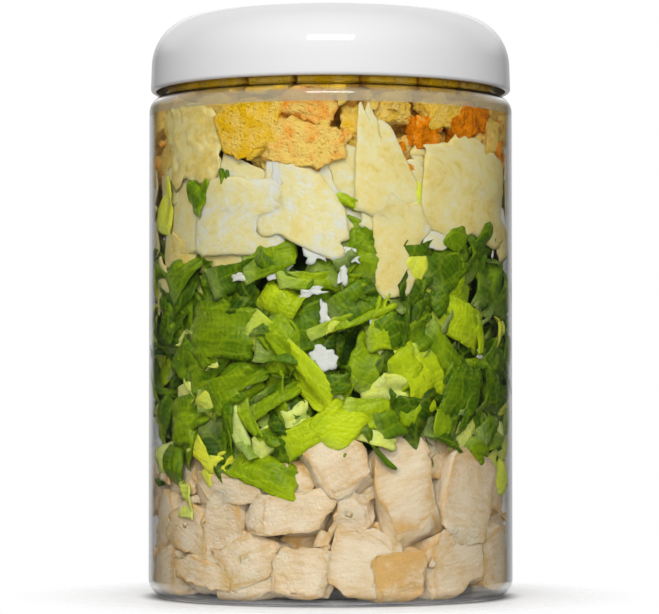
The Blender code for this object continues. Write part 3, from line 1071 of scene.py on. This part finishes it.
heart = {
    "placed": [
        (-42, 39.6, 14, 10, 62, 0.1, 1.4, 0.80),
        (-38, 36.5, 12, 6, 40, 0.5, 1.2, 0.90),
        (17, 58.2, 15, 6.5, 6, 0.7, 0.5, 0.30),
        (70, 71.3, 13, 8, 88, 0.4, 0.4, 0.70),
        (68, 34.5, 14, 9, -60, 0.4, 0.8, 0.60),
        (27, 90.0, 14, 7, 58, 0.9, 0.7, 0.70),
        (28, 110.0, 9, 2.6, 84, 0.7, 0.3, 0.60),
        (-67, 108.0, 16, 8, 75, 0.3, 0.7, 0.75),
        (-52, 27.5, 10, 7, 82, 0.0, 0.4, 0.45),
        (14, 44.8, 13, 4.0, -14, 0.7, 0.6, 0.20),
        (-12, 50.0, 13, 7, 8, 1.6, 0.5, 0.15),
    ],
    "around": 26,
    "thickness": 0.55,
    "colours": [(0.60, 0.66, 0.22), (0.52, 0.58, 0.07), (0.60, 0.58, 0.02)],
}
ribs = {
    "placed": [
        (-32, 48.6, 15, 5.5, -62, 0.2, 0.3, 0.45),
        (-55, 56.5, 7.5, 5.0, 5, 0.1, 0.2, 0.90),
        (15, 64.5, 8, 4.5, 80, 0.8, 0.2, 0.30),
        (0, 56.0, 9, 4.0, -50, 0.9, 0.2, 0.40),
        (62, 47.0, 12, 5.0, 70, 1.2, 0.3, 0.30),
    ],
    "around": 14,
    "thickness": 2.6,
    "colours": [(0.62, 0.70, 0.30), (0.52, 0.62, 0.16), (0.66, 0.64, 0.20)],
}


def leafSkin(name, settings, veins=0.10, gloss=0.26):
    look = Look(name)
    place = look.attribute("place", 1)
    tone = look.attribute("tone")
    pale = look.attribute("pale")
    patches = look.noise(place, 9, 3)
    network = 1 - look.smooth(look.edges(look.stretched(place, (0.55, 1, 1)), 4.2), 0.0, 0.11)
    blister = look.noise(place, 2.2, 2)
    streaks = look.noise(look.stretched(place, (0.12, 1, 1)), 1.3, 3)
    shade = tone - 0.03 + (patches - 0.5) * 0.60 + (streaks - 0.5) * 0.50
    green = look.ramp(shade, settings["colours"])
    red, middle, blue = settings["colours"][-1]
    light = (min(1, red * 1.3 + 0.05), min(1, middle * 1.3 + 0.05), blue + 0.01)
    combed = look.stretched(place, (1, 0.2, 1))
    sockets = {"Vector": combed, "Scale": 0.2, "Distortion": 6.0, "Detail": 2.0}
    ridges = look.node("TexWave", None, sockets, 1)
    coloured = look.mix(network * veins + ridges * 0.045, green, light)
    coloured = look.mix(pale * 0.85, coloured, (0.58, 0.66, 0.22))
    height = blister * 1.0 + streaks * 0.6 + ridges * 0.10 + network * 0.10
    sockets = {
        "Base Color": coloured,
        "Roughness": gloss + look.noise(place, 3, 2) * 0.22,
        "Normal": look.bump(height, 0.8, 0.7),
        "Specular IOR Level": 0.26,
    }
    return look.finish(look.surface(sockets))


def leafHeight(chance, angle):
    lean = 4.5 * sin(radians(angle)) * (0.5 + 0.5 * cos(radians(angle)))
    return chance.uniform(42, 94) + lean


def leaves(heap, chance, settings, form, count, low, high, span=(-180, 180), paintedShadeBrightness=1.0):
    for _ in range(count):
        angle = chance.uniform(*span)
        shape = (chance.uniform(14, 27), chance.uniform(6, 11), chance.uniform(-90, 90))
        rest = (chance.uniform(low, high), chance.uniform(-1.2, 1.5), chance.uniform(0.7, 1.1))
        # the tone is scaled down for leaves further in, as painted shade
        piece = (angle, leafHeight(chance, angle), *shape, *rest, chance.beta(1.6, 2.4) * paintedShadeBrightness)
        sheet(heap, chance, settings, piece, form)


def makeLeaves(chance):
    heap = Heap()
    flatter = leafForm | {"crease": 0.75, "tilt": 8}
    for angle, height, long, wide, *lie, tone in romaine["placed"]:
        size = (long * romaine["spread"], wide * romaine["spread"])
        tone = 0.5 + (tone - 0.5) * romaine["contrast"]
        piece = (angle, height, *size, *lie, chance.uniform(0.88, 1.05), tone)
        sheet(heap, chance, romaine, piece, flatter)
    close = roughForm | {"tilt": 24}
    far = leafForm | {"grid": (9, 7), "tilt": 35}
    leaves(heap, chance, romaine, roughForm, romaine["around"], 0.3, 3.5, (76, 284))
    # painted shade: leaves just behind the placed ones get darker tones, and those deep in darker still
    leaves(heap, chance, romaine, close, romaine["close"], 1.4, 4.5, (-84, 84), 0.75)
    leaves(heap, chance, romaine, far, romaine["behind"], 3.5, 7.0, paintedShadeBrightness=0.4)
    piece = heap.build("chopped_romaine", leafSkin("romaineSkin", romaine))
    ride(piece, "lettuce", "lettuce")


def makeHeart(chance):
    heap = Heap()
    for *shape, tone in heart["placed"]:
        sheet(heap, chance, heart, (*shape, chance.uniform(0.82, 1.05), tone), leafForm)
    leaves(heap, chance, heart, roughForm, heart["around"], 1.0, 5.0)
    ride(heap.build("romaine_heart", leafSkin("heartSkin", heart, 0.25)), "lettuce")


def makeRibs(chance):
    heap = Heap()
    for *shape, tone in ribs["placed"]:
        sheet(heap, chance, ribs, (*shape, 1.0, tone), ribForm)
    for _ in range(ribs["around"]):
        angle = chance.uniform(78, 282)
        shape = (chance.uniform(7, 15), chance.uniform(3.5, 6), chance.uniform(-90, 90))
        rest = (chance.uniform(0.2, 3), 0.3, 1.0, chance.uniform(0, 1))
        sheet(heap, chance, ribs, (angle, leafHeight(chance, angle), *shape, *rest), ribForm)
    ride(heap.build("romaine_ribs", leafSkin("ribSkin", ribs, 0.2, 0.25)), "lettuce")


def makeLettuce():
    chance = np.random.default_rng(5)
    makeLeaves(chance)
    makeHeart(chance)
    makeRibs(chance)
    makeCore("lettuce", romaine["core"], "lettuce")


stage = {
    "floorRadius": 1.5,
    "floorColours": [(0.95, 0.95, 0.95), (0.97, 0.97, 0.965)],
    # painted shadow on the floor: a dark ring round the foot and a grey-violet painted shade under the jar,
    # with the distances where each starts and ends
    "paintedShadowColour": (0.06, 0.057, 0.055),
    "paintedShadowReach": (0.0472, 0.0550),
    "underColour": (0.75, 0.74, 0.78),
    "under": (0.0462, 0.0488),
    "fade": (0.045, 0.092),
    "ambient": {"all": 0.30, "above": 0.24, "behind": 0.45},
    "reflected": {"all": 0.02, "left": 0.62, "right": 0.50, "high": 0.9},
    "camera": {"lens": 165.96, "place": (-0.0003, -0.855, 0.0534), "tilt": 91.85},
    "lights": {  # place, aim, size, power, seen in reflections
        "key": ((-0.36, -0.76, 0.58), (0, 0, 0.08), (0.45, 0.45), 2.3, False),
        "fill": ((0.38, -0.84, 0.46), (0, 0, 0.07), (0.5, 0.5), 1.7, False),
        "front": ((0.0, -0.91, 0.665), (0, 0, 0.10), (0.50, 0.20), 3.2, True),
        "low": ((0.0, -1.10, 0.13), (0, 0, 0.07), (1.1, 0.24), 5.5, False),
    },
}


def makeFloor():
    look = Look("floorSkin")
    place = look.node("TexCoord", None, None, "Object")
    distance = look.node("VectorMath", {"operation": "LENGTH"}, {0: place}, "Value")
    paper = look.noise(place, 0.02, 3)
    colour = look.mix(paper, *stage["floorColours"])
    # painted shadow: near the jar the floor colour gives way to a painted shade under the jar and a dark
    # painted contact shadow round its foot, for rays that have not yet bounced diffusely
    paintedShade = look.mix(look.smooth(distance, *stage["under"]), stage["underColour"], stage["paintedShadowColour"])
    near = 1 - look.smooth(distance, *stage["paintedShadowReach"])
    direct = 1 - look.smooth(look.node("LightPath", None, None, "Diffuse Depth"), 0.0, 1.0)
    colour = look.mix(near * direct, colour, paintedShade)
    surface = look.surface({"Base Color": colour, "Roughness": 0.5})
    away = look.node("BsdfTransparent", None, {"Color": (1, 1, 1)})
    far = look.smooth(distance, *stage["fade"])
    material = look.finish(look.blend(far, surface, away))
    bpy.ops.mesh.primitive_circle_add(vertices=96, radius=stage["floorRadius"], fill_type="NGON")
    floor = bpy.context.object
    floor.name = "floor"
    floor.data.materials.append(material)


def makeSky():
    world = bpy.data.worlds.new("sky")
    bpy.context.scene.world = world
    world.use_nodes = True
    look = Look("sky", world.node_tree)
    direction = look.node("TexCoord", None, None, "Generated")
    side, back, up = (look.node("SeparateXYZ", None, {0: direction}, axis) for axis in "XYZ")
    ambient, reflected = stage["ambient"], stage["reflected"]
    soft = ambient["all"] + look.smooth(up, 0.15, 0.75) * ambient["above"]
    soft = soft + look.smooth(back, 0.0, 0.7) * ambient["behind"]
    edge = reflected["left"] + look.smooth(side, -0.5, 0.5) * (reflected["right"] - reflected["left"])
    high = look.smooth(up, 0.15, 0.35) * reflected["high"]
    sharp = reflected["all"] + look.smooth(back, 0.84, 0.97) * edge + look.smooth(back, 0.2, 0.7) * high
    scattered = look.smooth(look.node("LightPath", None, None, "Diffuse Depth"), 0.0, 1.0)
    strength = sharp + scattered * (soft - sharp)
    lighting = look.node("Background", None, {"Color": (1, 1, 1), "Strength": strength})
    plain = look.node("Background", None, {"Color": (1, 1, 1), "Strength": 1.0})
    seen = look.node("LightPath", None, None, "Is Camera Ray")
    shown = look.blend(seen, lighting, plain)
    look.node("OutputWorld", None, {"Surface": shown})


def makeLight(name, place, aim, size, power, reflected):
    data = bpy.data.lights.new(name, "AREA")
    data.shape = "RECTANGLE"
    data.size, data.size_y = size
    data.energy = power
    light = bpy.data.objects.new(name, data)
    light.location = place
    light.visible_glossy = light.visible_transmission = reflected
    light.rotation_euler = (Vector(aim) - Vector(place)).to_track_quat("-Z", "Y").to_euler()
    bpy.context.scene.collection.objects.link(light)


def makeCamera():
    data = bpy.data.cameras.new("camera")
    data.sensor_width = 36
    data.lens = stage["camera"]["lens"]
    camera = bpy.data.objects.new("camera", data)
    camera.location = stage["camera"]["place"]
    camera.rotation_euler = (radians(stage["camera"]["tilt"]), 0, 0)
    bpy.context.scene.collection.objects.link(camera)
    bpy.context.scene.camera = camera


def makeStage():
    makeFloor()
    makeSky()
    for name, settings in stage["lights"].items():
        makeLight(name, *settings)
    makeCamera()
    view = bpy.context.scene.view_settings
    view.view_transform = "Standard"
    view.look = "None"


for label, work in (
    ("jar", makeJar),
    ("lid", makeLid),
    ("chicken", makeChicken),
    ("croutons", makeCroutons),
    ("parmesan", makeParmesan),
    ("lettuce", makeLettuce),
    ("stage", makeStage),
):
    work()
    print("made", label)
